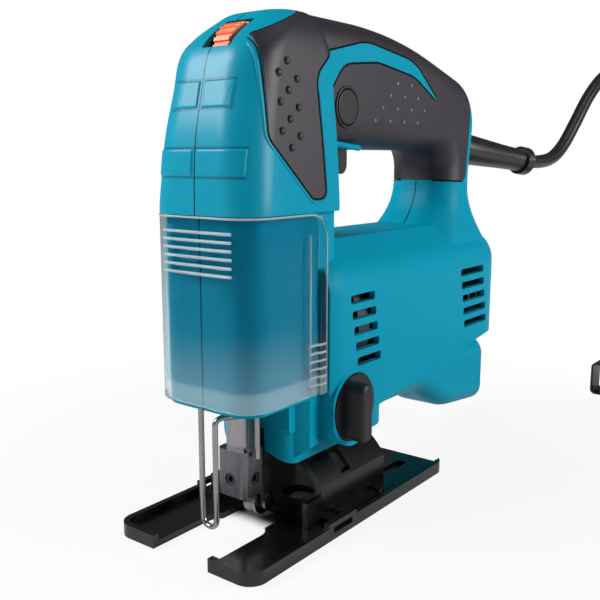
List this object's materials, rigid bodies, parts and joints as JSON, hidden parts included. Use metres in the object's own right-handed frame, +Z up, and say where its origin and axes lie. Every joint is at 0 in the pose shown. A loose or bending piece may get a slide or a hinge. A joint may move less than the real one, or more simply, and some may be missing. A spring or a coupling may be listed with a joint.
{
  "type": "corded jigsaw",
  "caption": "Corded jigsaw with a closed D-handle, rubber grips, clear dust cover, orbit lever, guide roller and a tilting sole; its cord is coiled beside it with a plug.",
  "frame": {"origin": "where the blade's axis crosses the plane of the sole's underside", "axes": "+X forward along the cut, +Y to the user's left, +Z up out of the sole"},
  "size_m": [0.4094, 0.2088, 0.207],
  "materials": {
    "housing": "fine moulded texture",
    "rubber": "soft moulded rubber",
    "fastener_steel": "plated",
    "bright_steel": "bright drawn",
    "hard_steel": "ground",
    "casting": "die cast",
    "bronze": "sintered or drawn",
    "laminations": "stacked sheet",
    "copper": "turned",
    "carbon": "pressed carbon",
    "inner_plastic": "moulded",
    "black_plastic": "moulded",
    "dial_orange": "moulded",
    "clear_cover": "clear moulded",
    "black_steel": "gloss black coat",
    "cord_black": "soft vinyl"
  },
  "bodies": {
    "housing": {"housing_left": "housing", "housing_right": "housing", "grip_left": "rubber", "grip_right": "rubber", "housing_screws": "fastener_steel", "finger_guard": "bright_steel", "gear_casting": "casting", "plunger_bushes": "bronze", "rear_bearing": "hard_steel", "front_bearing": "hard_steel", "stator": "laminations", "brush_holders": "bronze", "brushes": "carbon", "gear_axle": "bright_steel", "arm_pin": "bright_steel", "switch": "inner_plastic", "speed_controller": "inner_plastic", "dust_port": "inner_plastic", "cord_guard": "cord_black", "cord_clamp": "inner_plastic", "cord": "cord_black", "cord_coil": "cord_black", "cord_tie": "cord_black", "plug": "cord_black", "plug_pins": "bronze"},
    "cover": {"dust_cover": "clear_cover"},
    "armature": {"armature_shaft": "hard_steel", "armature_core": "laminations", "commutator": "copper", "fan": "inner_plastic"},
    "gear": {"drive_gear": "hard_steel"},
    "plunger": {"plunger_rod": "bright_steel", "plunger_yoke": "hard_steel", "blade_clamp": "hard_steel", "clamp_screws": "fastener_steel"},
    "arm": {"roller_arm": "hard_steel", "roller_pin": "bright_steel"},
    "guide_roller": {"roller": "bright_steel"},
    "lever": {"orbit_lever": "black_plastic"},
    "bevel_clamp": {"bevel_bolt": "fastener_steel", "bevel_washer": "fastener_steel", "bevel_nut": "fastener_steel"},
    "sole": {"sole_plate": "black_steel", "tilt_bracket": "black_steel", "bracket_rivets": "fastener_steel"},
    "trigger": {"trigger": "black_plastic"},
    "lock": {"lock_button": "black_plastic"},
    "dial": {"speed_dial": "dial_orange"}
  },
  "joints": [
    {"name": "trigger_slide", "type": "slide", "parent": "housing", "child": "trigger", "axis": [0, 0, 1], "range_m": [0, 0.006], "stiffness_N_per_m": 800, "springref_m": -0.004},
    {"name": "lock_button_press", "type": "slide", "parent": "housing", "child": "lock", "axis": [0, -1, 0], "range_m": [0, 0.003], "stiffness_N_per_m": 600, "springref_m": -0.002},
    {"name": "dial_turn", "type": "hinge", "parent": "housing", "child": "dial", "pos_m": [0.001, 0.003, 0.18], "axis": [0, 1, 0], "range_deg": [0, 270]},
    {"name": "lever_turn", "type": "hinge", "parent": "housing", "child": "lever", "pos_m": [-0.0355, 0.027, 0.046], "axis": [0, 1, 0], "range_deg": [0, 90]},
    {"name": "armature_spin", "type": "hinge", "parent": "housing", "child": "armature", "pos_m": [-0.1, 0, 0.076], "axis": [1, 0, 0], "continuous": true},
    {"name": "gear_spin", "type": "hinge", "parent": "housing", "child": "gear", "pos_m": [-0.0275, 0, 0.0964], "axis": [1, 0, 0], "continuous": true},
    {"name": "plunger_slide", "type": "slide", "parent": "housing", "child": "plunger", "axis": [0, 0, 1], "range_m": [0, 0.018]},
    {"name": "roller_swing", "type": "hinge", "parent": "housing", "child": "arm", "pos_m": [-0.011, 0, 0.036], "axis": [0, 1, 0], "range_deg": [0, 4]},
    {"name": "roller_spin", "type": "hinge", "parent": "arm", "child": "guide_roller", "pos_m": [-0.0096, 0, 0.0085], "axis": [0, 1, 0], "continuous": true},
    {"name": "dust_cover_slide", "type": "slide", "parent": "housing", "child": "cover", "axis": [0, 0, -1], "range_m": [0, 0.02]},
    {"name": "base_slide", "type": "slide", "parent": "housing", "child": "bevel_clamp", "axis": [-1, 0, 0], "range_m": [0, 0.012]},
    {"name": "base_tilt", "type": "hinge", "parent": "bevel_clamp", "child": "sole", "pos_m": [-0.036, 0, 0.001], "axis": [1, 0, 0], "range_deg": [-45, 45]}
  ],
  "couplings": [
    {"joint": "gear_spin", "follows": "armature_spin", "ratio": -0.21429}
  ]
}
